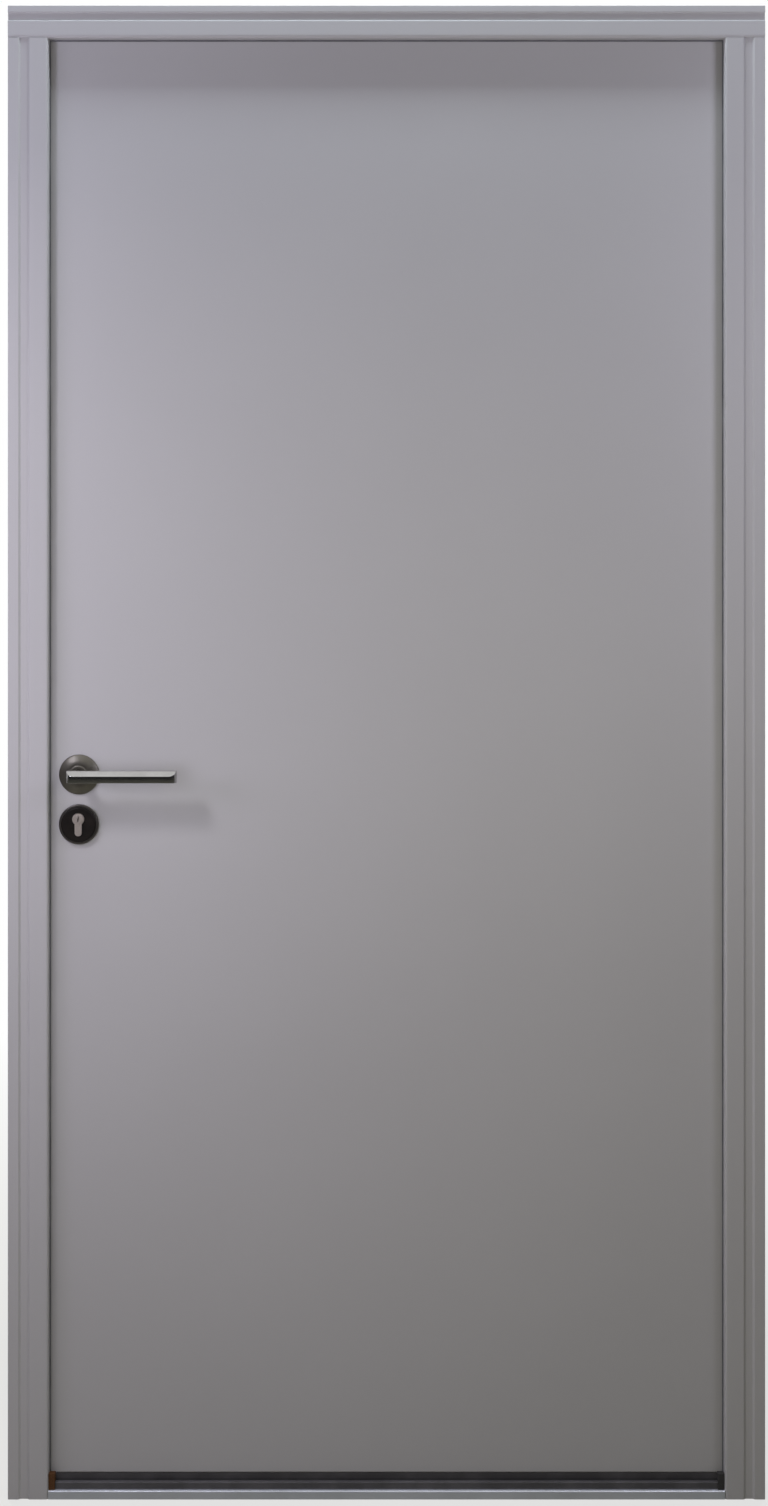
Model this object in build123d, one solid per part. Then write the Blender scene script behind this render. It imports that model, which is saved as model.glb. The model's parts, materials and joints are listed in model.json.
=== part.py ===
from build123d import *
import os

# Steel entry door set: a hollow steel frame, an aluminium threshold and an insulated leaf.
# All sizes are millimetres. X runs to the right seen from outside, Y runs indoors, Z runs up.
# The origin is under the middle of the threshold, halfway through the depth of the frame.

# Frame
frame_width = 1090.0
frame_height = 2150.0
frame_sheet = 2.0
bend_radius = 1.0
jamb_face = 58.0
jamb_outer_band = 15.0
jamb_groove_width = 16.0
jamb_groove_slope = 3.0
head_face = 46.0
head_outer_band = 9.0
head_groove_width = 13.0
head_groove_slope = 1.5
groove_depth = 2.5
stop_depth = 14.0
stop_edge_radius = 4.0

# Leaf and how it sits in the frame
leaf_thickness = 50.0
leaf_overlap = 13.0
leaf_gap = 7.0
leaf_sheet = 1.0
leaf_fold_radius = 2.5
thermal_break = 8.0
edge_strip_depth = 16.0

# Seals
gasket_width = 12.0
gasket_height = 5.0
gasket_wall = 1.4
gasket_bulb_width = 7.0
gasket_lip = 1.5
gasket_foot_width = 3.0
gasket_foot_depth = 4.0
gasket_foot_margin = 1.5
seal_gap = 0.5
sweep_carrier_height = 8.0
sweep_base = 1.5
sweep_inset = 1.0
sweep_fin = 3.0
sweep_fins = 3
sweep_end_gap = 4.0

# Threshold
threshold_height = 12.5
threshold_nose_radius = 3.0
threshold_wall = 2.5
tread_groove_width = 3.0
tread_groove_depth = 1.0
tread_grooves = 5
stop_bar_height = 10.0
stop_bar_width = 8.0
stop_bar_top_radius = 1.6
stop_bar_foot_width = 4.0
stop_bar_foot_depth = 5.0
stop_bar_setback = 6.0
sweep_clearance = 5.5
end_block_width = 9.0
end_block_height = 23.0
end_block_setback = 3.0

# Lock and handles
lever_height = 1042.0
backset = 55.0
cylinder_spacing = 72.0
rose_diameter = 58.0
rose_thickness = 10.0
key_rose_thickness = 6.0
key_guard_diameter = 46.0
key_guard_rise = 4.0
neck_diameter = 16.0
neck_length = 44.0
neck_running_gap = 0.3
lever_reach = 146.0
lever_heel = 11.0
lever_bar_height = 17.0
lever_bar_depth = 17.0
lever_bevel = 7.5
lever_corner_radius = 10.0
spindle_size = 8.0
spindle_hole = 22.0
socket_depth = 26.0
cylinder_head = 17.0
cylinder_stem = 10.0
cylinder_height = 33.0
cylinder_proud = 1.5
cylinder_seat_gap = 0.3
keyway_width = 2.4
keyway_height = 8.5
keyway_depth = 8.0
forend_width = 24.0
forend_height = 235.0
forend_thickness = 3.0
forend_corner_radius = 4.0
forend_drop = 32.0
latch_width = 12.0
latch_height = 28.0
latch_rise = 12.0
bolt_width = 14.0
bolt_height = 36.0
bolt_drop = 56.0
bolt_length = 40.0
bolt_seat_gap = 0.3
strike_height = 190.0
strike_thickness = 3.0
strike_window_margin = 3.0

# Hinges
hinge_names = ("lower", "middle", "upper")
hinge_end_distance = 260.0
knuckle_diameter = 17.0
knuckle_length = 60.0
knuckle_face_gap = 0.5
knuckle_wall_gap = 0.6
pin_diameter = 10.0
pin_running_gap = 0.08
pin_engagement = 45.0
hinge_plate_thickness = 3.0
hinge_plate_width = 32.0

# Wall anchors
anchor_hole_diameter = 10.5
anchor_rows = 4
anchor_end_distance = 260.0

# Worked out from the sizes above
leaf_recess = stop_depth + gasket_height + seal_gap
frame_depth = leaf_recess + leaf_thickness
front = -frame_depth / 2
back = frame_depth / 2
stop_back = front + stop_depth
leaf_front = front + leaf_recess
leaf_back = back
leaf_middle = (leaf_front + leaf_back) / 2
tray_depth = (leaf_thickness - thermal_break) / 2
half_width = frame_width / 2
opening_half = half_width - jamb_face
leaf_half = opening_half + leaf_overlap
rebate_half = leaf_half + leaf_gap
head_underside = frame_height - head_face
leaf_top = head_underside + leaf_overlap
head_rebate = leaf_top + leaf_gap
stop_bar_top = threshold_height + stop_bar_height
leaf_bottom = stop_bar_top + sweep_carrier_height
sweep_bottom = threshold_height + sweep_clearance
lever_x = -(leaf_half - backset)
key_height = lever_height - cylinder_spacing
lock_middle = lever_height - forend_drop
hinge_x = (leaf_half + rebate_half) / 2
hinge_y = back + knuckle_wall_gap + knuckle_diameter / 2
edge_sides = ("top", "bottom", "hinge", "lock_lower", "lock_upper")


def prism_x(sketch, x_low, x_high):
    """Extrude a sketch drawn in (Y, Z) from x_low to x_high."""
    return extrude(Plane.YZ.offset(x_low) * sketch, amount=x_high - x_low)


def prism_y(sketch, y_low, y_high):
    """Extrude a sketch drawn in (X, Z) from y_low to y_high."""
    return extrude(Plane.XZ.offset(-y_high) * sketch, amount=y_high - y_low)


def prism_z(sketch, z_low, z_high):
    """Extrude a sketch drawn in (X, Y) from z_low to z_high."""
    return extrude(Plane.XY.offset(z_low) * sketch, amount=z_high - z_low)


def block(x_low, x_high, y_low, y_high, z_low, z_high):
    """A rectangular solid between the given limits."""
    corner = (Align.MIN, Align.MIN, Align.MIN)
    solid = Box(x_high - x_low, y_high - y_low, z_high - z_low, align=corner)
    return Pos(x_low, y_low, z_low) * solid


def panel(x_low, x_high, y_low, y_high):
    """A rectangle between the given limits, in the first two axes of a sketch."""
    corner = (Align.MIN, Align.MIN)
    return Pos(x_low, y_low) * Rectangle(x_high - x_low, y_high - y_low, align=corner)


def outline(points, radii):
    """A closed face with one corner radius for each point."""
    return make_face(FilletPolyline(*points, radius=radii, close=True))


def mirrored(solid):
    """The same piece on the other side of the door."""
    return mirror(solid, about=Plane.YZ)


# Frame

def gasket_foot_limits(face_width):
    """Where the seal's foot is let into the back of a stop, across the face."""
    low = face_width + gasket_lip - gasket_width + gasket_foot_margin
    return low, low + gasket_foot_width


def frame_section(face_width, outer_band, groove_width, groove_slope, rebate_width):
    """Hollow frame section: across the face from the wall side, then back from the front."""
    inner_band = outer_band + groove_width
    foot_low, foot_high = gasket_foot_limits(face_width)
    foot_bottom = stop_depth - gasket_foot_depth
    bends = [
        ((0, 0), bend_radius),
        ((outer_band, 0), bend_radius),
        ((outer_band + groove_slope, groove_depth), 0),
        ((inner_band - groove_slope, groove_depth), 0),
        ((inner_band, 0), bend_radius),
        ((face_width, 0), stop_edge_radius),
        ((face_width, stop_depth), bend_radius),
        ((foot_high, stop_depth), 0),
        ((foot_high, foot_bottom), 0),
        ((foot_low, foot_bottom), 0),
        ((foot_low, stop_depth), 0),
        ((rebate_width, stop_depth), 0),
        ((rebate_width, frame_depth), bend_radius),
        ((0, frame_depth), bend_radius),
    ]
    outer = outline([point for point, radius in bends], [radius for point, radius in bends])
    inner = offset(outer, amount=-frame_sheet, kind=Kind.INTERSECTION)
    return outer - inner


def anchor_heights():
    """Heights of the wall anchors up each jamb."""
    step = (head_underside - 2 * anchor_end_distance) / (anchor_rows - 1)
    return [anchor_end_distance + step * row for row in range(anchor_rows)]


def jamb(hand):
    """One upright, notched at the top so that the head sits over it. hand is -1 for left."""
    wall_depth = half_width - rebate_half
    section = frame_section(
        jamb_face, jamb_outer_band, jamb_groove_width, jamb_groove_slope, wall_depth
    )
    solid = prism_z(Pos(-half_width, front) * section, 0, head_rebate)
    solid -= block(-half_width, -opening_half, front, stop_back, head_underside, head_rebate)
    for height in anchor_heights():
        hole = Pos(leaf_middle, height) * Circle(anchor_hole_diameter / 2)
        solid -= prism_x(hole, -half_width, -rebate_half)
    if hand < 0:
        return solid - prism_x(strike_outline(), -rebate_half - frame_sheet, -rebate_half)
    return mirrored(solid)


def head():
    """The top member, which runs the full width over both jambs."""
    wall_depth = frame_height - head_rebate
    section = frame_section(
        head_face, head_outer_band, head_groove_width, head_groove_slope, wall_depth
    )
    laid = Rot(0, 0, -90) * section
    return prism_x(Pos(front, frame_height) * laid, -half_width, half_width)


def strike_outline():
    """Outline of the strike plate on the rebate face, in (Y, Z)."""
    return Pos(leaf_middle, lock_middle) * RectangleRounded(
        forend_width, strike_height, forend_corner_radius
    )


def bolt_windows(margin):
    """Outlines of the latch and the dead bolt in (Y, Z), grown by margin all round."""
    latch = Rectangle(latch_width + 2 * margin, latch_height + 2 * margin)
    bolt = Rectangle(bolt_width + 2 * margin, bolt_height + 2 * margin)
    return [
        Pos(leaf_middle, lever_height + latch_rise) * latch,
        Pos(leaf_middle, lever_height - bolt_drop) * bolt,
    ]


def strike_plate():
    """Plate let flush into the rebate of the left jamb, with windows for latch and bolt."""
    plate = strike_outline()
    for window in bolt_windows(strike_window_margin):
        plate -= window
    return prism_x(plate, -rebate_half - strike_thickness, -rebate_half)


# Seals on the frame

def gasket_section():
    """Seal section: a foot for the channel, a flat base and a hollow bulb towards the leaf."""
    base = panel(0, gasket_width, 0, gasket_wall)
    foot_high = gasket_foot_margin + gasket_foot_width
    foot = panel(gasket_foot_margin, foot_high, -gasket_foot_depth, 0)
    bulb_low = gasket_width - gasket_bulb_width
    corners = [
        (bulb_low, 0),
        (gasket_width, 0),
        (gasket_width, gasket_height),
        (bulb_low, gasket_height),
    ]
    round_top = gasket_height / 2
    bulb = outline(corners, [0, 0, round_top, round_top])
    hollow = panel(
        bulb_low + gasket_wall,
        gasket_width - gasket_wall,
        gasket_wall,
        gasket_height - gasket_wall,
    )
    return base + foot + bulb - hollow


def jamb_gasket(hand):
    """Seal strip behind the stop of one jamb, from the threshold up to the head's seal."""
    section = Pos(-opening_half + gasket_lip - gasket_width, stop_back) * gasket_section()
    solid = prism_z(section, threshold_height, head_underside - gasket_lip)
    if hand < 0:
        return solid
    return mirrored(solid)


def head_gasket():
    """Seal strip behind the stop of the head, over both jamb seals."""
    laid = Rot(0, 0, -90) * gasket_section()
    section = Pos(stop_back, head_underside - gasket_lip + gasket_width) * laid
    return prism_x(section, -leaf_half, leaf_half)


# Threshold

def stop_bar_foot(half_length):
    """The bar's foot, which is also the slot that it sits in."""
    y_low = front + stop_bar_setback + (stop_bar_width - stop_bar_foot_width) / 2
    y_high = y_low + stop_bar_foot_width
    z_low = threshold_height - stop_bar_foot_depth
    return block(-half_length, half_length, y_low, y_high, z_low, threshold_height)


def threshold_section():
    """Extruded sill with a rounded nose, two hollow chambers and a grooved tread, in (Y, Z)."""
    corners = [(front, 0), (back, 0), (back, threshold_height), (front, threshold_height)]
    section = outline(corners, [0, 0, 0, threshold_nose_radius])
    chamber = (back - stop_back - 3 * threshold_wall) / 2
    for number in (0, 1):
        y_low = stop_back + threshold_wall + number * (chamber + threshold_wall)
        section -= panel(y_low, y_low + chamber, threshold_wall, threshold_height - threshold_wall)
    pitch = (leaf_back - leaf_front) / tread_grooves
    for number in range(tread_grooves):
        middle = leaf_front + pitch * (number + 0.5)
        groove_low = middle - tread_groove_width / 2
        section -= panel(
            groove_low,
            groove_low + tread_groove_width,
            threshold_height - tread_groove_depth,
            threshold_height,
        )
    return section


def threshold():
    """Aluminium sill between the jambs, notched round both stops, with a slot for the stop bar."""
    solid = prism_x(threshold_section(), -rebate_half, rebate_half)
    for hand in (-1, 1):
        x_low, x_high = sorted((hand * opening_half, hand * rebate_half))
        solid -= block(x_low, x_high, front, stop_back, 0, threshold_height)
    return solid - stop_bar_foot(opening_half)


def stop_bar():
    """Dark plastic bar that the sweep closes against."""
    half_length = opening_half - end_block_width
    y_low = front + stop_bar_setback
    y_high = y_low + stop_bar_width
    corners = [
        (y_low, threshold_height),
        (y_high, threshold_height),
        (y_high, stop_bar_top),
        (y_low, stop_bar_top),
    ]
    section = outline(corners, [0, 0, stop_bar_top_radius, stop_bar_top_radius])
    return prism_x(section, -half_length, half_length) + stop_bar_foot(half_length)


def end_block(hand):
    """Small sealing block that fills the corner between stop bar and jamb."""
    x_high = -opening_half + end_block_width
    z_high = threshold_height + end_block_height
    y_low = front + end_block_setback
    solid = block(-opening_half, x_high, y_low, stop_back, threshold_height, z_high)
    if hand < 0:
        return solid
    return mirrored(solid)


# Leaf

def cylinder_outline(grow):
    """Outline of a profile cylinder in (X, Z), round the middle of its height."""
    head_middle = (cylinder_height - cylinder_head) / 2
    stem_low = -(cylinder_height - cylinder_stem) / 2
    shape = Pos(0, head_middle) * Circle(cylinder_head / 2 + grow)
    shape += Pos(0, stem_low) * Circle(cylinder_stem / 2 + grow)
    shape += panel(-cylinder_stem / 2 - grow, cylinder_stem / 2 + grow, stem_low, head_middle)
    return shape


def cylinder_room():
    """Square-cornered room round the cylinder, where no seat shows."""
    width = cylinder_head + 2 * cylinder_seat_gap
    return Rectangle(width, cylinder_height + 2 * cylinder_seat_gap)


def lock_holes(y_low, y_high):
    """Holes through the leaf for the spindle and the cylinder."""
    holes = prism_y(Pos(lever_x, lever_height) * Circle(spindle_hole / 2), y_low, y_high)
    return holes + prism_y(
        Pos(lever_x, key_height) * cylinder_outline(cylinder_seat_gap), y_low, y_high
    )


def forend_outline():
    """Outline of the lock front in the edge of the leaf, in (Y, Z)."""
    return Pos(leaf_middle, lock_middle) * RectangleRounded(
        forend_width, forend_height, forend_corner_radius
    )


def lock_room():
    """Room in the edge of the leaf for the lock front and the drawn-back latch and bolt."""
    room = prism_x(forend_outline(), -leaf_half, -leaf_half + forend_thickness)
    for window in bolt_windows(bolt_seat_gap):
        room += prism_x(window, -leaf_half, -leaf_half + forend_thickness + bolt_length)
    return room


def leaf_skin(outside):
    """Steel skin folded back round all four edges, as an open tray."""
    y_high = leaf_front + tray_depth
    tray = block(-leaf_half, leaf_half, leaf_front, y_high, leaf_bottom, leaf_top)
    tray = fillet(tray.faces().sort_by(Axis.Y)[0].edges(), leaf_fold_radius)
    tray = offset(tray, amount=-leaf_sheet, openings=tray.faces().sort_by(Axis.Y)[-1])
    if not outside:
        tray = mirror(tray, about=Plane.XZ.offset(-leaf_middle))
    return tray - lock_holes(leaf_front, leaf_back) - lock_room()


def edge_strip(side):
    """Plastic strip that parts the two skins along one edge of the leaf."""
    inner = leaf_half - edge_strip_depth
    z_low = leaf_bottom + edge_strip_depth
    z_high = leaf_top - edge_strip_depth
    limits = {
        "top": (-leaf_half, leaf_half, z_high, leaf_top),
        "bottom": (-leaf_half, leaf_half, leaf_bottom, z_low),
        "hinge": (inner, leaf_half, z_low, z_high),
        "lock_lower": (-leaf_half, -inner, z_low, lock_middle - forend_height / 2),
        "lock_upper": (-leaf_half, -inner, lock_middle + forend_height / 2, z_high),
    }
    half_break = thermal_break / 2
    return prism_y(panel(*limits[side]), leaf_middle - half_break, leaf_middle + half_break)


def leaf_core():
    """Insulation that fills the leaf between the skins and inside the edge strips."""
    inner = leaf_half - leaf_sheet
    y_low = leaf_front + leaf_sheet
    y_high = leaf_back - leaf_sheet
    solid = block(-inner, inner, y_low, y_high, leaf_bottom + leaf_sheet, leaf_top - leaf_sheet)
    by_depth = solid.edges().group_by(Axis.Y)
    solid = chamfer(by_depth[0] + by_depth[-1], leaf_fold_radius - leaf_sheet)
    for side in edge_sides:
        solid -= edge_strip(side)
    solid -= prism_y(Pos(lever_x, lever_height) * Rectangle(spindle_hole, spindle_hole), y_low, y_high)
    solid -= prism_y(Pos(lever_x, key_height) * cylinder_room(), y_low, y_high)
    return solid - lock_room()


# Sweep under the leaf

def sweep_limits():
    """Half length, and the front and back faces of the sweep."""
    return leaf_half - sweep_end_gap, leaf_front + sweep_inset, leaf_back - sweep_inset


def sweep_carrier():
    """Black channel under the leaf that holds the rubber fins."""
    half_length, y_low, y_high = sweep_limits()
    return block(-half_length, half_length, y_low, y_high, stop_bar_top, leaf_bottom)


def sweep_lip():
    """Rubber fins that hang from the carrier towards the threshold."""
    half_length, y_low, y_high = sweep_limits()
    base_low = stop_bar_top - sweep_base
    section = panel(y_low, y_high, base_low, stop_bar_top)
    pitch = (y_high - y_low - sweep_fin) / (sweep_fins - 1)
    for number in range(sweep_fins):
        fin_low = y_low + pitch * number
        section += panel(fin_low, fin_low + sweep_fin, sweep_bottom, base_low)
    return prism_x(section, -half_length, half_length)


# Lock

def lock_front():
    """Face plate of the lock, flush in the edge of the leaf."""
    plate = forend_outline()
    for window in bolt_windows(bolt_seat_gap):
        plate -= window
    return prism_x(plate, -leaf_half, -leaf_half + forend_thickness)


def dead_bolt():
    """Dead bolt, drawn back so that its end is flush with the lock front."""
    x_high = -leaf_half + forend_thickness + bolt_length - bolt_seat_gap
    return prism_x(bolt_windows(0)[1], -leaf_half, x_high)


def latch():
    """Latch with its sloping nose, drawn back so that its tip is flush with the lock front."""
    x_high = -leaf_half + forend_thickness + bolt_length - bolt_seat_gap
    half = latch_width / 2
    corners = [
        (-leaf_half, leaf_middle - half),
        (x_high, leaf_middle - half),
        (x_high, leaf_middle + half),
        (-leaf_half + half, leaf_middle + half),
    ]
    middle = lever_height + latch_rise
    plan = make_face(Polyline(*corners, close=True))
    return prism_z(plan, middle - latch_height / 2, middle + latch_height / 2)


def cylinder_ends():
    """Where the two faces of the cylinder stand, outside and inside."""
    reach = key_rose_thickness + key_guard_rise + cylinder_proud
    return leaf_front - reach, leaf_back + reach


def cylinder_body():
    """Profile cylinder right through the leaf, with a keyway at both ends."""
    y_low, y_high = cylinder_ends()
    solid = prism_y(Pos(lever_x, key_height) * cylinder_outline(0), y_low, y_high)
    plug_height = key_height + (cylinder_height - cylinder_head) / 2
    keyway = Pos(lever_x, plug_height) * Rectangle(keyway_width, keyway_height)
    solid -= prism_y(keyway, y_low, y_low + keyway_depth)
    return solid - prism_y(keyway, y_high - keyway_depth, y_high)


# Handles

def on_leaf(solid, height, outside):
    """Stand a piece made along +Z on the outer or inner face of the leaf, at the lock's line."""
    if outside:
        return Pos(lever_x, leaf_front, height) * Rot(90, 0, 0) * solid
    return Pos(lever_x, leaf_back, height) * Rot(-90, 0, 0) * solid


def lever_rose(outside):
    """Round cover on the leaf that the neck of the lever turns in."""
    ring = Circle(rose_diameter / 2) - Circle(neck_diameter / 2 + neck_running_gap)
    return on_leaf(prism_z(ring, 0, rose_thickness), lever_height, outside)


def key_rose(outside):
    """Round cover round the cylinder, with a plain square opening behind the dark middle."""
    ring = Circle(rose_diameter / 2) - cylinder_room()
    return on_leaf(prism_z(ring, 0, key_rose_thickness), key_height, outside)


def key_guard(outside):
    """Raised dark middle of the key cover, which fits round the cylinder."""
    y_low, y_high = cylinder_ends()
    disc = Circle(key_guard_diameter / 2)
    top = key_rose_thickness + key_guard_rise
    solid = on_leaf(prism_z(disc, key_rose_thickness, top), key_height, outside)
    hole = Pos(lever_x, key_height) * cylinder_outline(cylinder_seat_gap)
    return solid - prism_y(hole, y_low, y_high)


def lever_handle(outside):
    """Round neck and flat bar, with a broad bevel along the top front edge of the bar."""
    sign = -1 if outside else 1
    face = leaf_front if outside else leaf_back
    root = face + sign * neck_length
    tip = root + sign * lever_bar_depth
    z_low = lever_height - lever_bar_height / 2
    z_high = lever_height + lever_bar_height / 2
    x_low = lever_x - lever_heel
    x_high = lever_x + lever_reach
    corners = [(x_low, root), (x_low, tip), (x_high, tip), (x_high, root)]
    plan = outline(corners, [0, lever_corner_radius, lever_corner_radius, 0])
    bar = prism_z(plan, z_low, z_high)
    outward = sign * lever_bevel
    wedge = [
        (tip + outward, z_high - 2 * lever_bevel),
        (tip - 2 * outward, z_high + lever_bevel),
        (tip + outward, z_high + lever_bevel),
    ]
    bevel_cut = make_face(Polyline(*wedge, close=True))
    bar -= prism_x(bevel_cut, x_low - lever_bevel, x_high + lever_bevel)
    neck = Pos(lever_x, lever_height) * Circle(neck_diameter / 2)
    solid = bar + prism_y(neck, *sorted((face, root)))
    socket_end = face + sign * socket_depth
    socket = Pos(lever_x, lever_height) * Rectangle(spindle_size, spindle_size)
    return solid - prism_y(socket, *sorted((face, socket_end)))


def spindle():
    """Square bar that joins the two levers through the leaf."""
    square = Pos(lever_x, lever_height) * Rectangle(spindle_size, spindle_size)
    return prism_y(square, leaf_front - socket_depth, leaf_back + socket_depth)


# Hinges

def hinge_heights():
    """Heights of the hinge middles, evenly spread up the leaf."""
    low = leaf_bottom + hinge_end_distance
    high = leaf_top - hinge_end_distance
    step = (high - low) / (len(hinge_names) - 1)
    return [low + step * number for number in range(len(hinge_names))]


def knuckle(z_low, seat, hand):
    """One barrel with its plate, which starts at seat and runs towards hand in X."""
    z_high = z_low + knuckle_length
    barrel = prism_z(Pos(hinge_x, hinge_y) * Circle(knuckle_diameter / 2), z_low, z_high)
    far = hinge_x + hand * (knuckle_diameter / 2 + hinge_plate_width)
    x_low, x_high = sorted((seat, far))
    return barrel + block(x_low, x_high, back, back + hinge_plate_thickness, z_low, z_high)


def hinge_frame_half(height):
    """Lower half of a hinge, on the jamb, with the pin."""
    z_low = height - knuckle_length - knuckle_face_gap / 2
    z_top = z_low + knuckle_length
    pin = Pos(hinge_x, hinge_y) * Circle(pin_diameter / 2)
    return knuckle(z_low, rebate_half, 1) + prism_z(pin, z_top, z_top + pin_engagement)


def hinge_leaf_half(height):
    """Upper half of a hinge, on the leaf, bored for the pin."""
    z_low = height + knuckle_face_gap / 2
    bore = Pos(hinge_x, hinge_y) * Circle(pin_diameter / 2 + pin_running_gap)
    return knuckle(z_low, leaf_half, -1) - prism_z(bore, z_low, z_low + pin_engagement)


pieces = {
    "left_jamb": jamb(-1),
    "right_jamb": jamb(1),
    "head": head(),
    "threshold": threshold(),
    "threshold_stop_bar": stop_bar(),
    "threshold_end_block_left": end_block(-1),
    "threshold_end_block_right": end_block(1),
    "left_gasket": jamb_gasket(-1),
    "right_gasket": jamb_gasket(1),
    "head_gasket": head_gasket(),
    "strike_plate": strike_plate(),
    "leaf_outer_skin": leaf_skin(True),
    "leaf_inner_skin": leaf_skin(False),
    "leaf_core": leaf_core(),
    "sweep_carrier": sweep_carrier(),
    "sweep_lip": sweep_lip(),
    "lock_front": lock_front(),
    "lock_latch": latch(),
    "lock_dead_bolt": dead_bolt(),
    "lock_cylinder": cylinder_body(),
    "lever_spindle": spindle(),
}
for side in edge_sides:
    pieces["leaf_edge_strip_" + side] = edge_strip(side)
for place, outside in (("outer", True), ("inner", False)):
    pieces[place + "_lever_rose"] = lever_rose(outside)
    pieces[place + "_key_rose"] = key_rose(outside)
    pieces[place + "_key_guard"] = key_guard(outside)
    pieces[place + "_lever"] = lever_handle(outside)
for name, height in zip(hinge_names, hinge_heights()):
    pieces["hinge_" + name + "_frame_half"] = hinge_frame_half(height)
    pieces["hinge_" + name + "_leaf_half"] = hinge_leaf_half(height)

os.makedirs("parts", exist_ok=True)
for name, piece in pieces.items():
    export_step(piece, "parts/" + name + ".step")
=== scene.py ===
import json
import math

import bmesh
import bpy
from mathutils import Matrix, Vector

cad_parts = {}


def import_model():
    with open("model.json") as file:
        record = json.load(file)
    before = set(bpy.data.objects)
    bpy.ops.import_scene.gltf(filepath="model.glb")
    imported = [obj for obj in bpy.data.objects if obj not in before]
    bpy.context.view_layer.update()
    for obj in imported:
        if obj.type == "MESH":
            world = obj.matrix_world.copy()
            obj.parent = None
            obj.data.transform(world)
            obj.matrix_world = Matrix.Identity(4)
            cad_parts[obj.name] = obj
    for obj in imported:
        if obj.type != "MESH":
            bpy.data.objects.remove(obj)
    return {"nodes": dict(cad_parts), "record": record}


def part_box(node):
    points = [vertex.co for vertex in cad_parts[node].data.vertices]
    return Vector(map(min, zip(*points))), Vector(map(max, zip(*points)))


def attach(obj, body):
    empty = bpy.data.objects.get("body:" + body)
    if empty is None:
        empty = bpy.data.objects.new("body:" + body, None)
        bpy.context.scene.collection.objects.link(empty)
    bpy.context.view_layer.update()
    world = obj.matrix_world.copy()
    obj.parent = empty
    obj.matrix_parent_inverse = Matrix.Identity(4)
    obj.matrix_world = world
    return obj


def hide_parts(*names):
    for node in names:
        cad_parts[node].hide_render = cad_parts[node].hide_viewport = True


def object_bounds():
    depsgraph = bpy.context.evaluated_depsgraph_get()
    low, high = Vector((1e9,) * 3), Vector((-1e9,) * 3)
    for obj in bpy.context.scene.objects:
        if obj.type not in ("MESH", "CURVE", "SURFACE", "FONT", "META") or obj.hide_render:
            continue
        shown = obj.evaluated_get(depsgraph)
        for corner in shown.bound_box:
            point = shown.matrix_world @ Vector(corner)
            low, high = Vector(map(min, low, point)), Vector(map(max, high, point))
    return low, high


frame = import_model()
cad_low, cad_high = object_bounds()
nodes = frame["nodes"]

# Sizes of the details, in metres

NECK_RADIUS = 0.008
BAR_DEPTH = 0.017
BAR_BEVEL = 0.0075
BAR_CORNER = 0.010
COVER_GAP_INSET = 0.0006
COVER_GAP_SLOPE = 0.0002
GUARD_OVERLAP = 0.0025
CYLINDER_HEAD = 0.0085
CYLINDER_STEM = 0.005
CYLINDER_CLEARANCE = 0.0003
PLUG_RADIUS = 0.0065
KEYWAY = (
    (-0.0012, -0.0042), (0.0004, -0.0042), (0.0004, -0.0018), (0.0012, -0.0012),
    (0.0012, 0.0040), (-0.0003, 0.0042), (-0.0003, 0.0012), (-0.0012, 0.0006),
)
SCREW_RADIUS = 0.0042
SCREW_SINK = 0.0006
SCREW_RISE = 0.0005
SCREW_INSET = 0.010
SCREW_STAGGER = 0.014
CYLINDER_SCREW_DROP = 0.010
KNUCKLE_RADIUS = 0.0085
KNUCKLE_LENGTH = 0.060
KNUCKLE_ROUND = 0.0028
KNUCKLE_CHAMFER = 0.0005
PIN_RADIUS = 0.005
PIN_LENGTH = 0.045
PIN_CHAMFER = 0.001
PIN_CLEARANCE = 0.0001
PIN_END_CLEARANCE = 0.0005
PLATE_REACH = 0.0405
PLATE_SEAT = 0.0035
PLATE_THICKNESS = 0.003
PLATE_CORNER = 0.005
PLATE_SOFT_EDGE = 0.0005
BLOCK_SOFT_EDGE = 0.0014

# A cutter reaches past the surface by this much, and points closer than a weld are one
CUT_PAST = 0.01
FIRST_WELD = 1e-7
LAST_WELD = 1e-6

# Steps round a turned piece: broad ones, small ones and screws
BROAD_STEPS = 96
SMALL_STEPS = 64
SCREW_STEPS = 28

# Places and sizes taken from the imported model

FRAME_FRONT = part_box("head")[0].y
LEAF_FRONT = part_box("leaf_outer_skin")[0].y
LEAF_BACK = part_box("leaf_inner_skin")[1].y
rose_low, rose_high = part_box("outer_lever_rose")
LEVER_X = (rose_low.x + rose_high.x) / 2
LEVER_Z = (rose_low.z + rose_high.z) / 2
ROSE_RADIUS = (rose_high.x - rose_low.x) / 2
ROSE_RISE = LEAF_FRONT - rose_low.y
key_low, key_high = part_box("outer_key_rose")
KEY_Z = (key_low.z + key_high.z) / 2
KEY_RISE = LEAF_FRONT - key_low.y
guard_low, guard_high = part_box("outer_key_guard")
GUARD_RADIUS = (guard_high.x - guard_low.x) / 2 + GUARD_OVERLAP
GUARD_RISE = LEAF_FRONT - guard_low.y
cylinder_low, cylinder_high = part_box("lock_cylinder")
lever_low, lever_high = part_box("outer_lever")

# Floor, in metres, and light of the studio

FLOOR_RADIUS = 12.0
FLOOR_DROP = 0.0005
FLOOR_GLOW = 0.68
FLOOR_FADE = (0.9, 3.6)
WHITE = (1, 1, 1)
AMBIENT = (0.02, 0.02, 0.02)
MIRROR_DARK = (0.02, 0.0195, 0.02)
# Directions in which the studio that metal shows turns white: backwards and upwards
MIRROR_FADES = (("Y", -0.2, 0.4), ("Z", 0.35, 0.85))

# Picture, in its pixels, the metres that one pixel covers, and the camera

PICTURE_ROWS = 1506
MIDDLE_ROW = 753
MIDDLE_COLUMN = 384
GROUND_ROW = 1499.5
DOOR_COLUMN = 386.5
PIXEL = 0.001439
CAMERA_DISTANCE = 3.0
CAMERA_Z = 1.25
SENSOR_MM = 36


# Materials

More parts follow.
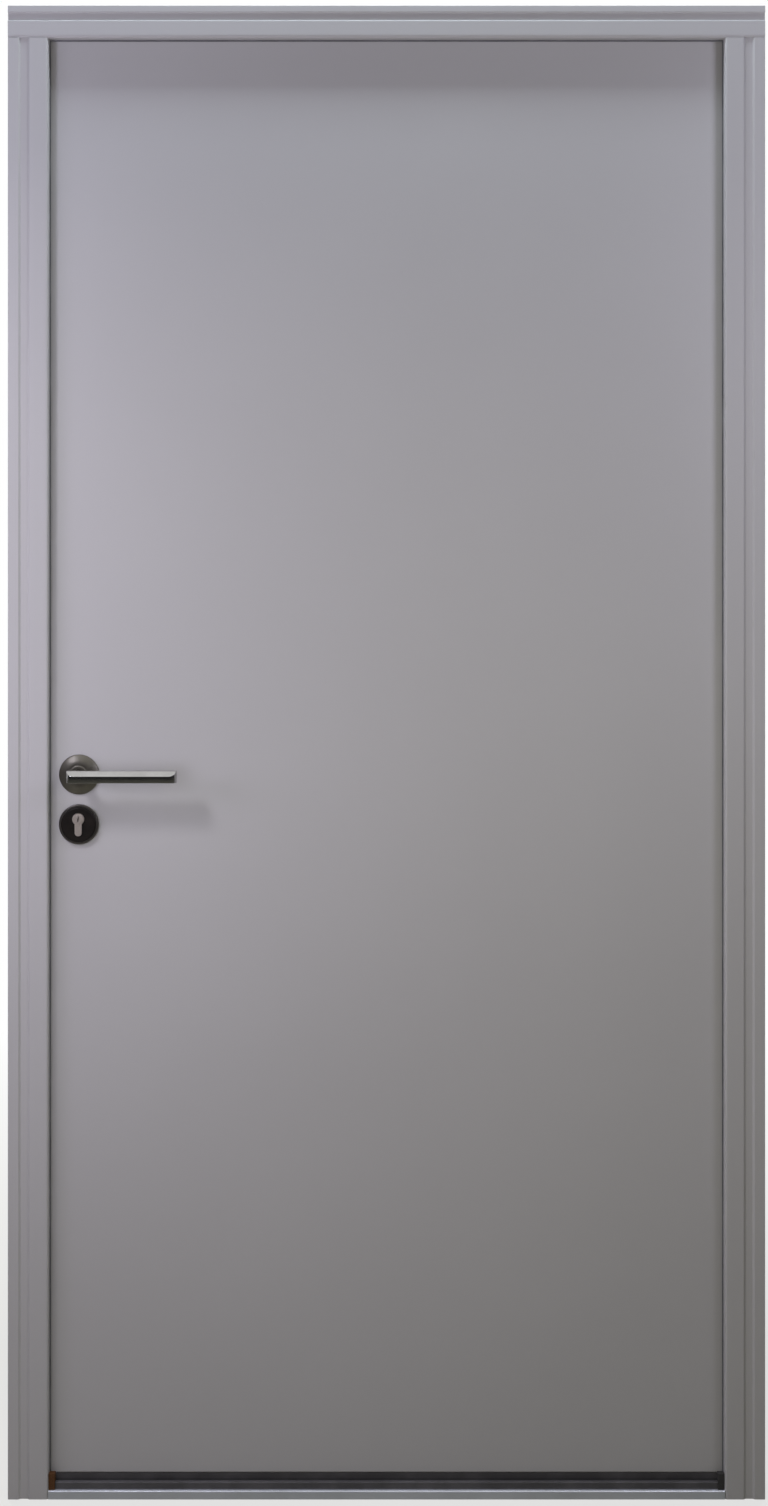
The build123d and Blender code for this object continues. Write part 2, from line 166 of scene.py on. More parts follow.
class NodeTree:
    """A node tree with short ways to add and link nodes."""

    # Sockets of a mix node that is set to colours
    COLOR_A, COLOR_B, COLOR_OUT = 6, 7, 2

    def __init__(self, tree):
        self.tree = tree

    def add(self, kind, **values):
        """A new node, with values for its sockets or settings by name."""
        node = self.tree.nodes.new(kind)
        for key, value in values.items():
            if key in node.inputs:
                node.inputs[key].default_value = value
            else:
                setattr(node, key, value)
        return node

    def link(self, source, target):
        """Feed one socket from another."""
        self.tree.links.new(source, target)

    def ranged(self, source, low, high, start=0.3, end=0.7):
        """The source between start and end, laid out from low to high."""
        spread = self.add("ShaderNodeMapRange")
        self.link(source, spread.inputs["Value"])
        spread.inputs["From Min"].default_value = start
        spread.inputs["From Max"].default_value = end
        spread.inputs["To Min"].default_value = low
        spread.inputs["To Max"].default_value = high
        return spread.outputs["Result"]

    def mixed(self, factor, first, second):
        """Mix of two colours, each given as a colour or as a socket."""
        mix = self.add("ShaderNodeMix", data_type="RGBA")
        self.link(factor, mix.inputs["Factor"])
        for number, color in ((self.COLOR_A, first), (self.COLOR_B, second)):
            if isinstance(color, tuple):
                mix.inputs[number].default_value = (*color, 1)
            else:
                self.link(color, mix.inputs[number])
        return mix.outputs[self.COLOR_OUT]


class Surface(NodeTree):
    """A procedural material round one principled shader."""

    def __init__(self, name, color, roughness, metallic=0.0, specular=0.5):
        self.material = bpy.data.materials.new(name)
        self.material.use_nodes = True
        super().__init__(self.material.node_tree)
        self.shader = self.tree.nodes["Principled BSDF"]
        self.shader.inputs["Base Color"].default_value = (*color, 1)
        self.shader.inputs["Roughness"].default_value = roughness
        self.shader.inputs["Metallic"].default_value = metallic
        self.shader.inputs["Specular IOR Level"].default_value = specular
        self.place = self.add("ShaderNodeTexCoord").outputs["Object"]

    def noise(self, scale, detail, stretch=(1, 1, 1)):
        """Noise in object space, scale features to the metre, squeezed along each axis by stretch."""
        mapping = self.add("ShaderNodeMapping", Scale=stretch)
        self.link(self.place, mapping.inputs["Vector"])
        noise = self.add("ShaderNodeTexNoise", Scale=scale, Detail=detail)
        self.link(mapping.outputs["Vector"], noise.inputs["Vector"])
        return noise.outputs["Fac"]

    def rings(self, scale):
        """Noise that depends only on the distance from the object's Y axis: turned rings."""
        flat = self.add("ShaderNodeVectorMath", operation="MULTIPLY")
        self.link(self.place, flat.inputs[0])
        flat.inputs[1].default_value = (1, 0, 1)
        length = self.add("ShaderNodeVectorMath", operation="LENGTH")
        self.link(flat.outputs["Vector"], length.inputs[0])
        join = self.add("ShaderNodeCombineXYZ")
        self.link(length.outputs["Value"], join.inputs["X"])
        noise = self.add("ShaderNodeTexNoise", Scale=scale, Detail=3.0)
        self.link(join.outputs["Vector"], noise.inputs["Vector"])
        return noise.outputs["Fac"]

    def tint(self, source, low, high):
        """Base colour between two colours."""
        self.link(self.mixed(source, low, high), self.shader.inputs["Base Color"])

    def cloud(self, source, low, high):
        """Base colour between two colours, in the soft patches of a noise."""
        self.tint(self.ranged(source, 0, 1), low, high)

    def roughen(self, source, low, high):
        """Roughness between two values, in the patches of a noise."""
        self.link(self.ranged(source, low, high), self.shader.inputs["Roughness"])

    def bumps(self, *layers):
        """Bump layers, each a height source, a strength and a depth in metres."""
        normal = None
        for height, strength, depth in layers:
            bump = self.add("ShaderNodeBump", Strength=strength, Distance=depth)
            self.link(height, bump.inputs["Height"])
            if normal:
                self.link(normal, bump.inputs["Normal"])
            normal = bump.outputs["Normal"]
        self.link(normal, self.shader.inputs["Normal"])


def painted_steel():
    """Grey powder coat: faint cloudiness, a fine orange peel and a satin gloss."""
    s = Surface("painted_steel", (0.42, 0.407, 0.40), 0.5)
    s.cloud(s.noise(2.2, 3), (0.412, 0.399, 0.392), (0.428, 0.415, 0.408))
    s.roughen(s.noise(60, 4), 0.46, 0.54)
    peel = s.noise(420, 2)
    grain = s.noise(1800, 2)
    s.bumps((peel, 0.10, 0.0004), (grain, 0.06, 0.0001))
    return s.material


def threshold_aluminium():
    """Mill aluminium with draw lines along the sill and a few duller, trodden patches."""
    s = Surface("threshold_aluminium", (0.6, 0.62, 0.67), 0.42, metallic=0.7)
    lines = s.noise(900, 3, stretch=(0.012, 1, 1))
    wear = s.noise(9, 4)
    s.cloud(wear, (0.56, 0.58, 0.62), (0.65, 0.67, 0.72))
    s.roughen(lines, 0.34, 0.52)
    s.bumps((lines, 0.25, 0.0002), (s.noise(300, 3), 0.05, 0.0002))
    return s.material


def soft_black(name, color, grain, rough_low, rough_high):
    """Rubber or dark plastic with a fine grain and dusty lighter patches."""
    s = Surface(name, color, rough_high, specular=0.4)
    dust = s.ranged(s.noise(25, 5), 0, 1, 0.42, 0.78)
    lighter = tuple(min(1, v * 1.5 + 0.008) for v in color)
    s.tint(dust, color, lighter)
    s.roughen(s.noise(90, 3), rough_low, rough_high)
    s.bumps((s.noise(grain, 2), 0.18, 0.0003))
    return s.material


def foam(name, color):
    """Open cell foam, with painted shade that darkens the pits and lighter cell edges."""
    s = Surface(name, color, 0.92, specular=0.2)
    cells = s.add("ShaderNodeTexVoronoi", Scale=900.0, feature="DISTANCE_TO_EDGE")
    s.link(s.place, cells.inputs["Vector"])
    walls_and_pit_shade = s.ranged(cells.outputs["Distance"], 1, 0, 0.0, 0.35)
    # Painted shade: the middle of each cell is darkened and its edges are lightened in the base colour
    s.tint(walls_and_pit_shade, tuple(v * 0.45 for v in color), tuple(v * 1.35 for v in color))
    s.bumps((walls_and_pit_shade, 0.7, 0.0006), (s.noise(160, 3), 0.3, 0.0008))
    return s.material


def brushed(name, low, high, rough_low, rough_high, stretch):
    """Stainless steel brushed along one direction, with faint cloudy handling marks."""
    s = Surface(name, low, rough_low, metallic=1.0)
    lines = s.noise(1400, 4, stretch=stretch)
    s.cloud(s.noise(45, 4), low, high)
    s.roughen(lines, rough_low, rough_high)
    s.bumps((lines, 0.10, 0.0001), (s.noise(70, 2), 0.03, 0.0004))
    return s.material


def turned_steel(name, low, high, rough_low, rough_high, metallic=1.0):
    """Stainless steel with turned rings round the piece's own axis."""
    s = Surface(name, low, rough_low, metallic=metallic)
    rings = s.rings(2600)
    s.cloud(s.noise(60, 4), low, high)
    s.roughen(rings, rough_low, rough_high)
    s.bumps((rings, 0.14, 0.00012))
    return s.material


def black_guard():
    """Satin black coated metal with turned rings and rubbed, slightly browner patches."""
    s = Surface("black_guard", (0.010, 0.009, 0.008), 0.38, specular=0.16)
    s.cloud(s.noise(80, 4), (0.008, 0.007, 0.006), (0.014, 0.011, 0.009))
    rings = s.rings(1800)
    s.roughen(rings, 0.30, 0.44)
    s.bumps((rings, 0.10, 0.0001), (s.noise(700, 2), 0.06, 0.0001))
    return s.material


def insulation():
    """Pale stiff foam, hidden in the leaf."""
    s = Surface("insulation", (0.75, 0.68, 0.45), 0.9)
    s.cloud(s.noise(300, 4), (0.68, 0.60, 0.38), (0.80, 0.73, 0.50))
    s.bumps((s.noise(500, 3), 0.4, 0.0005))
    return s.material


def edge_plastic():
    """Mid grey moulded plastic with a fine spark texture."""
    s = Surface("edge_plastic", (0.2, 0.2, 0.21), 0.5)
    s.cloud(s.noise(18, 4), (0.19, 0.19, 0.20), (0.23, 0.23, 0.24))
    s.roughen(s.noise(200, 3), 0.44, 0.58)
    s.bumps((s.noise(1500, 2), 0.15, 0.0002))
    return s.material


MATERIALS = {
    "painted_steel": painted_steel(),
    "threshold_aluminium": threshold_aluminium(),
    "black_rubber": soft_black("black_rubber", (0.042, 0.041, 0.042), 1500, 0.62, 0.8),
    "dark_plastic": soft_black("dark_plastic", (0.060, 0.057, 0.058), 900, 0.5, 0.65),
    "brown_foam": foam("brown_foam", (0.10, 0.046, 0.019)),
    "grey_foam": foam("grey_foam", (0.05, 0.048, 0.046)),
    "grey_gasket": soft_black("grey_gasket", (0.11, 0.11, 0.115), 1300, 0.6, 0.75),
    "edge_plastic": edge_plastic(),
    "insulation": insulation(),
    "satin_steel": brushed(
        "satin_steel", (0.50, 0.485, 0.46), (0.58, 0.56, 0.53), 0.28, 0.42, (1, 1, 0.03)
    ),
    "lever_steel": brushed(
        "lever_steel", (0.43, 0.425, 0.415), (0.49, 0.485, 0.475), 0.15, 0.24, (0.03, 1, 1)
    ),
    "black_guard": black_guard(),
    "nickel": turned_steel("nickel", (0.52, 0.455, 0.40), (0.59, 0.52, 0.46), 0.42, 0.54, 0.75),
}
# Painted shade: the round covers' steel is much darker than the lever's and the screws' steel, standing
# in for the dark reflections on the covers
SHADED_ROSE_STEEL = turned_steel(
    "shaded_rose_steel", (0.150, 0.139, 0.113), (0.192, 0.178, 0.147), 0.33, 0.43, 0.85
)
# Painted shade: the key cover's rim is darker still, standing in for its dark reflection
SHADED_KEY_STEEL = turned_steel("shaded_key_steel", (0.11, 0.10, 0.09), (0.145, 0.133, 0.12), 0.30, 0.40, 0.85)
SCREW_STEEL = turned_steel("screw_steel", (0.55, 0.54, 0.52), (0.62, 0.61, 0.59), 0.26, 0.4)

slot_of = {part["node"]: part["material_slot"] for part in frame["record"]["subparts"]}
for name, node in nodes.items():
    node.data.materials.clear()
    node.data.materials.append(MATERIALS[slot_of[name]])


# Mesh helpers

def finish_piece(name, build, body, material, replaced=(), place=(0, 0, 0), turn=None, sharp=35):
    """Turn a bmesh into a piece that rides on a body. Edges past sharp degrees stay sharp."""
    bmesh.ops.remove_doubles(build, verts=build.verts, dist=LAST_WELD)
    bmesh.ops.recalc_face_normals(build, faces=build.faces)
    mesh = bpy.data.meshes.new(name)
    build.to_mesh(mesh)
    build.free()
    mesh.shade_smooth()
    mesh.set_sharp_from_angle(angle=math.radians(sharp))
    mesh.materials.append(material)
    piece = bpy.data.objects.new(name, mesh)
    bpy.context.scene.collection.objects.link(piece)
    piece.matrix_world = Matrix.Translation(place) @ (turn or Matrix.Identity(4))
    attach(piece, body)
    if replaced:
        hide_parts(*replaced)


def arc(centre, radius, start, end, steps):
    """Points on an arc, angles in degrees."""
    points = []
    for step in range(steps + 1):
        angle = math.radians(start + (end - start) * step / steps)
        points.append((centre[0] + radius * math.cos(angle), centre[1] + radius * math.sin(angle)))
    return points


def turned(profile, segments=BROAD_STEPS):
    """A closed profile of (radius, height) points turned round the Y axis, with height along -Y."""
    build = bmesh.new()
    rings = []
    for radius, height in profile:
        ring = []
        for number in range(segments):
            angle = 2 * math.pi * number / segments
            ring.append(build.verts.new((radius * math.cos(angle), -height, radius * math.sin(angle))))
        rings.append(ring)
    for first, second in zip(rings, rings[1:] + rings[:1]):
        for number in range(segments):
            after = (number + 1) % segments
            build.faces.new((first[number], first[after], second[after], second[number]))
    bmesh.ops.remove_doubles(build, verts=build.verts, dist=FIRST_WELD)
    return build


def extruded(outline, low, high, axis="Y"):
    """A closed outline drawn out along Y from points in X and Z, or along Z from points in X and Y."""
    def point(pair, level):
        if axis == "Y":
            return pair[0], level, pair[1]
        return pair[0], pair[1], level
    build = bmesh.new()
    bottom = [build.verts.new(point(pair, low)) for pair in outline]
    top = [build.verts.new(point(pair, high)) for pair in outline]
    build.faces.new(bottom)
    build.faces.new(top)
    count = len(outline)
    for number in range(count):
        after = (number + 1) % count
        build.faces.new((bottom[number], bottom[after], top[after], top[number]))
    return build


def soften(build, width, segments, angle):
    """Round every edge that is sharper than angle."""
    bmesh.ops.recalc_face_normals(build, faces=build.faces)
    limit = math.radians(angle)
    edges = [e for e in build.edges if e.is_manifold and e.calc_face_angle(0) > limit]
    bmesh.ops.bevel(
        build, geom=edges, offset=width, segments=segments, profile=0.5,
        affect="EDGES", clamp_overlap=True,
    )


def combine(build, other, operation):
    """Union or difference of two bmeshes, by way of two short-lived objects."""
    made = []
    for part in (build, other):
        bmesh.ops.recalc_face_normals(part, faces=part.faces)
        mesh = bpy.data.meshes.new("scratch")
        part.to_mesh(mesh)
        part.free()
        piece = bpy.data.objects.new("scratch", mesh)
        bpy.context.scene.collection.objects.link(piece)
        made.append(piece)
    change = made[0].modifiers.new("combine", "BOOLEAN")
    change.operation = operation
    change.solver = "EXACT"
    change.object = made[1]
    bpy.context.view_layer.update()
    result = made[0].evaluated_get(bpy.context.evaluated_depsgraph_get()).to_mesh()
    answer = bmesh.new()
    answer.from_mesh(result)
    for piece in made:
        mesh = piece.data
        bpy.data.objects.remove(piece)
        bpy.data.meshes.remove(mesh)
    return answer


# Round covers, key guards and cylinder plugs on both faces of the leaf

# Each face by name, with its depth and the turn that brings a piece to it
SIDES = (
    ("outer", LEAF_FRONT, Matrix.Identity(4)),
    ("inner", LEAF_BACK, Matrix.Rotation(math.pi, 4, "Z")),
)


def cover_foot(inner, gap):
    """Start of a round cover's profile: its flat back, and a thin shadow gap against the leaf."""
    foot = ROSE_RADIUS - COVER_GAP_INSET
    return [(inner, 0), (foot, 0), (foot, gap), (ROSE_RADIUS, gap + COVER_GAP_SLOPE)]


def lever_rose(name, face, turn):
    """Turned cover: a shadow gap, a rounded rim, a gentle dome and a collar round the neck."""
    rim = 0.0024
    hole = NECK_RADIUS + 0.0003
    collar = NECK_RADIUS + 0.0042
    collar_foot = collar + 0.0010
    collar_round = 0.0006
    edge = ROSE_RISE - 0.0060
    crown = ROSE_RISE - 0.0012
    dome_steps = 12
    profile = cover_foot(hole, gap=0.0009)
    profile += arc((ROSE_RADIUS - rim, edge - rim), rim, 0, 60, 6)
    start_radius, start_height = profile[-1]
    for step in range(1, dome_steps + 1):
        share = step / dome_steps
        radius = start_radius + (collar_foot - start_radius) * share
        height = start_height + (crown - start_height) * math.sin(share * math.pi / 2)
        profile.append((radius, height))
    profile += arc((collar - collar_round, ROSE_RISE - collar_round), collar_round, 0, 90, 4)
    profile.append((hole, ROSE_RISE))
    finish_piece(
        name + "_lever_rose_cover", turned(profile), "leaf", SHADED_ROSE_STEEL,
        (name + "_lever_rose",), (LEVER_X, face, LEVER_Z), turn,
    )


def key_rose(name, face, turn):
    """Steel rim round the dark middle of the key cover."""
    rim = 0.0022
    inner = GUARD_RADIUS - 0.004
    profile = cover_foot(inner, gap=0.0011)
    profile += arc((ROSE_RADIUS - rim, KEY_RISE - rim), rim, 0, 90, 8)
    profile.append((inner, KEY_RISE))
    finish_piece(
        name + "_key_rose_rim", turned(profile), "leaf", SHADED_KEY_STEEL,
        (name + "_key_rose",), (LEVER_X, face, KEY_Z), turn,
    )


def cylinder_outline():
    """Outline of the profile cylinder with its clearance, in (X, Z) round the middle of its height."""
    half = (cylinder_high.z - cylinder_low.z) / 2
    head = CYLINDER_HEAD + CYLINDER_CLEARANCE
    stem = CYLINDER_STEM + CYLINDER_CLEARANCE
    lean = math.degrees(math.acos(stem / head))
    points = arc((0, half - CYLINDER_HEAD), head, -lean, 180 + lean, 36)
    return points + arc((0, -half + CYLINDER_STEM), stem, 180, 360, 18)


def key_guard(name, face, turn):
    """Dark domed middle with the cylinder's outline cut through it."""
    edge = 0.0028
    base = KEY_RISE - 0.0006
    profile = [(0.0, base), (GUARD_RADIUS, base)]
    profile += arc((GUARD_RADIUS - edge, GUARD_RISE - edge), edge, 0, 90, 8)
    profile.append((0.0, GUARD_RISE))
    hole = extruded(cylinder_outline(), -GUARD_RISE - CUT_PAST, -base + CUT_PAST)
    build = combine(turned(profile), hole, "DIFFERENCE")
    finish_piece(
        name + "_key_guard_dome", build, "leaf", MATERIALS["black_guard"],
        (name + "_key_guard",), (LEVER_X, face, KEY_Z), turn,
    )


def cylinder_plug(name, face, turn):
    """Turning plug with a keyway, a little proud of the cylinder."""
    reach = LEAF_FRONT - cylinder_low.y
    base = reach - 0.0002
    top = reach + 0.0007
    edge = 0.0004
    profile = [(0.0, base), (PLUG_RADIUS, base)]
    profile += arc((PLUG_RADIUS - edge, top - edge), edge, 0, 90, 4)
    profile.append((0.0, top))
    slot = extruded(KEYWAY, -reach - CUT_PAST, -reach + CUT_PAST)
    build = combine(turned(profile, SMALL_STEPS), slot, "DIFFERENCE")
    middle = cylinder_high.z - CYLINDER_HEAD
    finish_piece(
        name + "_cylinder_plug", build, "leaf", MATERIALS["nickel"],
        (), (LEVER_X, face, middle), turn,
    )


for name, face, turn in SIDES:
    lever_rose(name, face, turn)
    key_rose(name, face, turn)
    key_guard(name, face, turn)
    cylinder_plug(name, face, turn)


# Levers

def lever_bar(reach, root, flip):
    """Bar with rounded ends, a broad bevel along the top front edge and soft edges."""
    heel = lever_low.x - LEVER_X
    far = lever_high.x - LEVER_X
    half = (lever_high.z - lever_low.z) / 2
    plan = [(heel, -root)]
    plan += arc((heel + BAR_CORNER, -reach + BAR_CORNER), BAR_CORNER, 180, 270, 14)
    plan += arc((far - BAR_CORNER, -reach + BAR_CORNER), BAR_CORNER, 270, 360, 14)
    plan.append((far, -root))
    bar = extruded([(x * flip, y) for x, y in plan], -half, half, "Z")
    bmesh.ops.recalc_face_normals(bar, faces=bar.faces)
    everything = bar.verts[:] + bar.edges[:] + bar.faces[:]
    slope = Vector((0, -1, 1)).normalized()
    sliced = bmesh.ops.bisect_plane(
        bar, geom=everything, plane_co=(0, -reach, half - BAR_BEVEL), plane_no=slope,
        clear_outer=True,
    )
    rim = [e for e in sliced["geom_cut"] if isinstance(e, bmesh.types.BMEdge)]
    bmesh.ops.contextual_create(bar, geom=rim)
    soften(bar, width=0.0009, segments=3, angle=28)
    return bar


def lever_neck(root):
    """Round neck that flares a little and ends inside the bar."""
    flare_start = root - 0.004
    flare_middle = root - 0.0016
    inside = root + 0.003
    profile = [
        (0.0, 0.0), (NECK_RADIUS, 0.0), (NECK_RADIUS, flare_start),
        (NECK_RADIUS + 0.0003, flare_middle), (NECK_RADIUS + 0.00042, inside), (0.0, inside),
    ]
    return turned(profile, SMALL_STEPS)


def lever(name, face, turn):
    """Neck and bar of one lever."""
    flip = -1 if name == "inner" else 1
    reach = LEAF_FRONT - lever_low.y
    root = reach - BAR_DEPTH
    build = combine(lever_bar(reach, root, flip), lever_neck(root), "UNION")
    finish_piece(
        name + "_lever_handle", build, "lever_set", MATERIALS["lever_steel"],
        (name + "_lever",), (LEVER_X, face, LEVER_Z), turn, 30,
    )


for name, face, turn in SIDES:
    lever(name, face, turn)


# Screws

def screw_head(build, spot, facing):
    """Add a countersunk head with a cross recess. facing is the outward direction."""
    profile = [
        (0.0, -SCREW_SINK), (SCREW_RADIUS, -SCREW_SINK), (SCREW_RADIUS, 0.0),
        (SCREW_RADIUS * 0.96, SCREW_RISE * 0.5), (SCREW_RADIUS * 0.8, SCREW_RISE * 0.9),
        (0.0, SCREW_RISE),
    ]
    arm = SCREW_RADIUS * 0.62
    thin = SCREW_RADIUS * 0.16
    recess_floor = 0.0001
    cross = [
        (thin, arm), (-thin, arm), (-thin, thin), (-arm, thin), (-arm, -thin), (-thin, -thin),
        (-thin, -arm), (thin, -arm), (thin, -thin), (arm, -thin), (arm, thin), (thin, thin),
    ]
    slot = extruded(cross, -CUT_PAST, -recess_floor)
    head = combine(turned(profile, SCREW_STEPS), slot, "DIFFERENCE")
    turn = Vector((0, -1, 0)).rotation_difference(Vector(facing)).to_matrix().to_4x4()
    bmesh.ops.transform(head, matrix=Matrix.Translation(spot) @ turn, verts=head.verts)
    mesh = bpy.data.meshes.new("scratch")
    head.to_mesh(mesh)
    head.free()
    build.from_mesh(mesh)
    bpy.data.meshes.remove(mesh)


def screws(name, spots, facing, body):
    """One piece with a screw head at each spot."""
    build = bmesh.new()
    for spot in spots:
        screw_head(build, spot, facing)
    finish_piece(name, build, body, SCREW_STEEL)


strike_low, strike_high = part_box("strike_plate")
strike_y = (strike_low.y + strike_high.y) / 2
heights = (strike_low.z + SCREW_INSET, strike_high.z - SCREW_INSET)
screws("strike_screws", [(strike_high.x, strike_y, z) for z in heights], (1, 0, 0), "frame")

front_low, front_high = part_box("lock_front")
front_y = (front_low.y + front_high.y) / 2
heights = (front_low.z + SCREW_INSET, front_high.z - SCREW_INSET, KEY_Z - CYLINDER_SCREW_DROP)
screws("lock_front_screws", [(front_low.x, front_y, z) for z in heights], (-1, 0, 0), "leaf")


# Hinges

def barrel_profile(half):
    """Half section of one barrel, as radius and height: a rounded outer end, and the pin or its hole."""
    neck = KNUCKLE_RADIUS - KNUCKLE_ROUND
    if half == "frame":
        top = KNUCKLE_LENGTH + PIN_LENGTH - PIN_END_CLEARANCE
        profile = [(0.0, 0.0)] + arc((neck, KNUCKLE_ROUND), KNUCKLE_ROUND, 270, 360, 7)
        return profile + [
            (KNUCKLE_RADIUS, KNUCKLE_LENGTH - KNUCKLE_CHAMFER),
            (KNUCKLE_RADIUS - KNUCKLE_CHAMFER, KNUCKLE_LENGTH),
            (PIN_RADIUS, KNUCKLE_LENGTH), (PIN_RADIUS, top - PIN_CHAMFER),
            (PIN_RADIUS - PIN_CHAMFER, top), (0.0, top),
        ]
    hole = PIN_RADIUS + PIN_CLEARANCE
    profile = [(hole, 0.0), (KNUCKLE_RADIUS - KNUCKLE_CHAMFER, 0.0), (KNUCKLE_RADIUS, KNUCKLE_CHAMFER)]
    profile += arc((neck, KNUCKLE_LENGTH - KNUCKLE_ROUND), KNUCKLE_ROUND, 0, 90, 7)
    return profile + [(0.0, KNUCKLE_LENGTH), (0.0, PIN_LENGTH), (hole, PIN_LENGTH)]


def hinge_plate(far, near, inward, low_z):
    """Plate with two rounded corners, from its far edge to its near one under the barrel."""
    high_z = low_z + KNUCKLE_LENGTH
    side = far + inward * PLATE_CORNER
    outline = [(near, high_z), (near, low_z)]
    for x, z in arc((0, 0), PLATE_CORNER, 270, 180, 8):
        outline.append((side + inward * x, low_z + PLATE_CORNER + z))
    for x, z in arc((0, 0), PLATE_CORNER, 180, 90, 8):
        outline.append((side + inward * x, high_z - PLATE_CORNER + z))
    plate = extruded(outline, LEAF_BACK, LEAF_BACK + PLATE_THICKNESS)
    soften(plate, PLATE_SOFT_EDGE, segments=2, angle=60)
    return plate


def hinge(place, half):
    """One half of a barrel hinge: a turned barrel, a plate and three staggered screws."""
    node = "hinge_" + place + "_" + half + "_half"
    low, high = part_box(node)
    inward = 1 if half == "leaf" else -1
    far = low.x if half == "leaf" else high.x
    axis = far + inward * PLATE_REACH
    barrel = turned(barrel_profile(half), SMALL_STEPS)
    upright = Matrix.Rotation(-math.pi / 2, 4, "X")
    spot = Matrix.Translation((axis, high.y - KNUCKLE_RADIUS, low.z))
    bmesh.ops.transform(barrel, matrix=spot @ upright, verts=barrel.verts)
    plate = hinge_plate(far, axis - inward * PLATE_SEAT, inward, low.z)
    build = combine(barrel, plate, "UNION")
    slot = slot_of[node]
    name = "hinge_" + place + "_" + half
    finish_piece(name + "_knuckle", build, half, MATERIALS[slot], (node,))
    spots = []
    for share, stagger in ((0.2, 0), (0.5, SCREW_STAGGER), (0.8, 0)):
        x = far + inward * (SCREW_INSET + stagger)
        spots.append((x, LEAF_BACK + PLATE_THICKNESS, low.z + KNUCKLE_LENGTH * share))
    screws(name + "_screws", spots, (0, 1, 0), half)


for place in ("lower", "middle", "upper"):
    hinge(place, "frame")
    hinge(place, "leaf")


# Soft edges on the two foam blocks

for name in ("threshold_end_block_left", "threshold_end_block_right"):
    change = nodes[name].modifiers.new("soft_edges", "BEVEL")
    change.width = BLOCK_SOFT_EDGE
    change.segments = 3
    change.limit_method = "ANGLE"


# Stage: pale floor and plain light

def floor():
    """Round pale floor that takes the object's shadow and fades to white further out."""
    build = bmesh.new()
    bmesh.ops.create_circle(build, cap_ends=True, radius=FLOOR_RADIUS, segments=BROAD_STEPS)
    mesh = bpy.data.meshes.new("floor")
    build.to_mesh(mesh)
    build.free()
    s = Surface("floor", (0.34, 0.335, 0.27), 0.7)
    s.cloud(s.noise(3, 3), (0.33, 0.325, 0.26), (0.35, 0.345, 0.28))
    glow = s.add("ShaderNodeEmission", Color=(*WHITE, 1), Strength=1.0)
    distance = s.add("ShaderNodeVectorMath", operation="LENGTH")
    s.link(s.place, distance.inputs[0])
    fade = s.ranged(distance.outputs["Value"], FLOOR_GLOW, 1.0, *FLOOR_FADE)
    path = s.add("ShaderNodeLightPath")
    share = s.add("ShaderNodeMath", operation="MULTIPLY")
    s.link(path.outputs["Is Camera Ray"], share.inputs[0])
    s.link(fade, share.inputs[1])
    mix = s.add("ShaderNodeMixShader")
    s.link(share.outputs["Value"], mix.inputs["Fac"])
    s.link(s.shader.outputs["BSDF"], mix.inputs[1])
    s.link(glow.outputs["Emission"], mix.inputs[2])
    s.link(mix.outputs["Shader"], s.tree.nodes["Material Output"].inputs["Surface"])
    mesh.materials.append(s.material)
    piece = bpy.data.objects.new("floor", mesh)
    bpy.context.scene.collection.objects.link(piece)
    piece.location = (0, 0, cad_low.z - FLOOR_DROP)


def place_lamp(name, data, spot, watts, color, mirrored):
    """A lamp that the camera doesn't see, and that metal shows only where mirrored is set."""
    data.energy = watts
    data.color = color
    piece = bpy.data.objects.new(name, data)
    bpy.context.scene.collection.objects.link(piece)
    piece.location = spot
    piece.visible_camera = False
    piece.visible_glossy = mirrored


def bulb(name, spot, radius, watts, color=WHITE, mirrored=True):
    """A round soft lamp."""
    data = bpy.data.lights.new(name, "POINT")
    data.shadow_soft_size = radius
    place_lamp(name, data, spot, watts, color, mirrored)


def strip(name, spot, size, watts, color):
    """A rectangular lamp that faces down, and that metal doesn't show."""
    data = bpy.data.lights.new(name, "AREA")
    data.shape = "RECTANGLE"
    data.size, data.size_y = size
    place_lamp(name, data, spot, watts, color, mirrored=False)


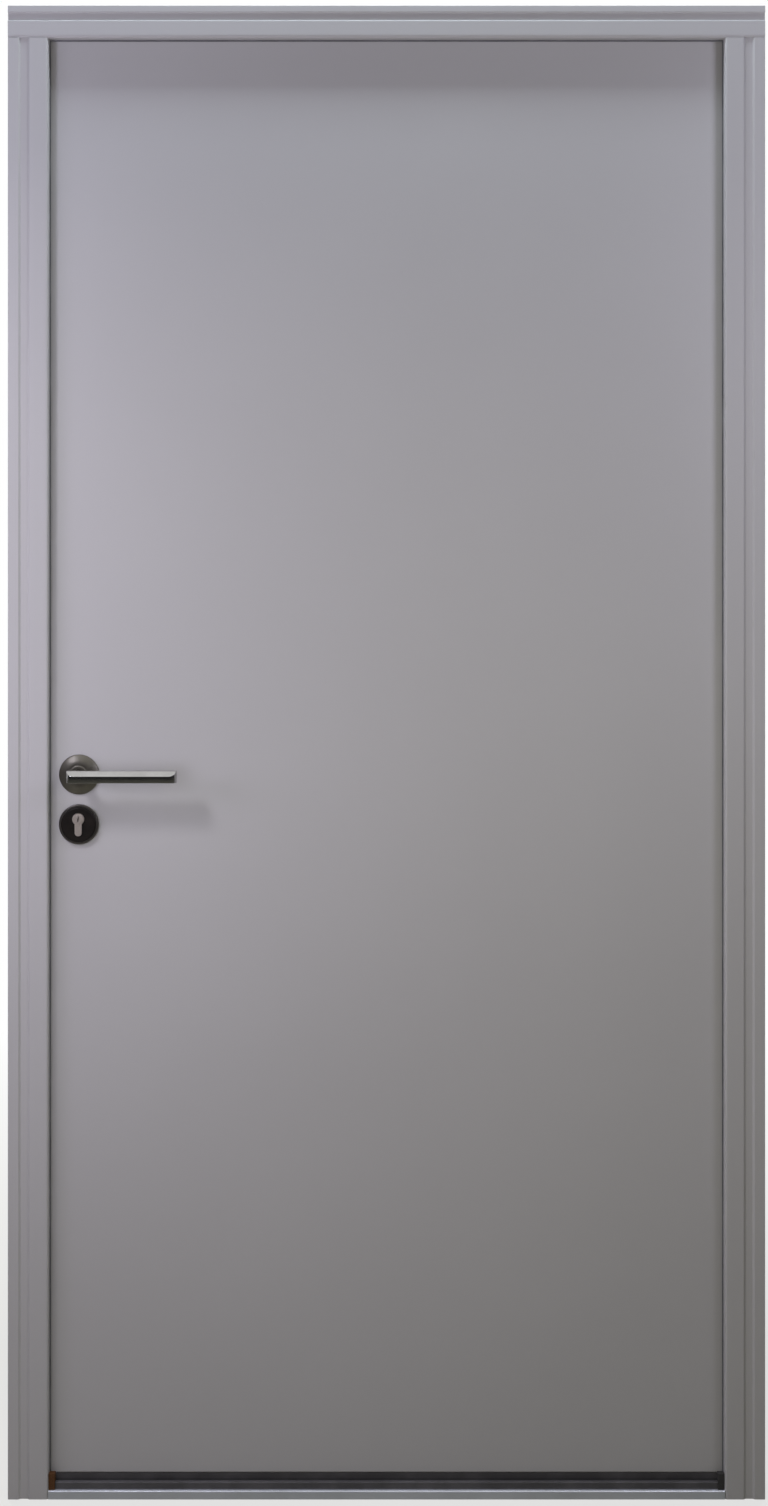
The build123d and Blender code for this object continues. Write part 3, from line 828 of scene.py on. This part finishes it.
def world():
    """White for the camera, dim soft light for the object, and for metal a studio that is white
    behind and overhead and dark on the viewer's side."""
    data = bpy.data.worlds.new("studio")
    bpy.context.scene.world = data
    data.use_nodes = True
    w = NodeTree(data.node_tree)
    w.tree.nodes.clear()
    path = w.add("ShaderNodeLightPath")
    split = w.add("ShaderNodeSeparateXYZ")
    w.link(w.add("ShaderNodeTexCoord").outputs["Generated"], split.inputs["Vector"])
    lit = w.add("ShaderNodeMath", operation="MAXIMUM")
    for number, (axis, start, end) in enumerate(MIRROR_FADES):
        w.link(w.ranged(split.outputs[axis], 0, 1, start, end), lit.inputs[number])
    mirror = w.mixed(lit.outputs["Value"], MIRROR_DARK, WHITE)
    light = w.mixed(path.outputs["Is Glossy Ray"], AMBIENT, mirror)
    seen = w.mixed(path.outputs["Is Camera Ray"], light, WHITE)
    shade = w.add("ShaderNodeBackground")
    w.link(seen, shade.inputs["Color"])
    out = w.add("ShaderNodeOutputWorld")
    w.link(shade.outputs["Background"], out.inputs["Surface"])


floor()
world()
bulb("key_left", (-0.98, -0.86, 1.90), 0.14, 12.5, (1.0, 0.99, 1.27))
strip("down_left", (-0.98, -0.86, 1.95), (0.24, 0.24), 5.2, (1.0, 1.0, 0.95))
bulb("side_left", (-1.30, -0.60, 1.30), 0.20, 11, (1.0, 0.93, 1.25), mirrored=False)
bulb("front_left", (-0.55, -1.00, 1.05), 0.35, 13.5, (1.0, 0.98, 1.22), mirrored=False)
bulb("key_right", (1.10, -0.86, 1.80), 0.20, 18, (1.0, 0.99, 1.25))
bulb("front_middle", (0.25, -1.30, 1.22), 0.40, 10.5, (1.0, 0.99, 0.60), mirrored=False)
strip("overhead", (0.0, -0.155, 2.7), (1.3, 0.10), 10.5, (0.95, 1.08, 1.2))
bulb("rear_left", (-1.7, 2.5, 1.9), 0.35, 125)
bulb("rear_right", (1.9, 2.7, 1.6), 0.35, 105)


# Camera: straight on, with the picture's frame placed by shift

view_height = PICTURE_ROWS * PIXEL
picture_x = (MIDDLE_COLUMN - DOOR_COLUMN) * PIXEL
picture_z = (GROUND_ROW - MIDDLE_ROW) * PIXEL
camera_data = bpy.data.cameras.new("camera")
camera_data.sensor_fit = "AUTO"
camera_data.sensor_width = SENSOR_MM
camera_data.lens = SENSOR_MM * CAMERA_DISTANCE / view_height
camera_data.shift_y = (picture_z - CAMERA_Z) / view_height
camera = bpy.data.objects.new("camera", camera_data)
bpy.context.scene.collection.objects.link(camera)
camera.location = (picture_x, FRAME_FRONT - CAMERA_DISTANCE, CAMERA_Z)
camera.rotation_euler = (math.pi / 2, 0, 0)
bpy.context.scene.camera = camera
bpy.context.scene.view_settings.view_transform = "Standard"
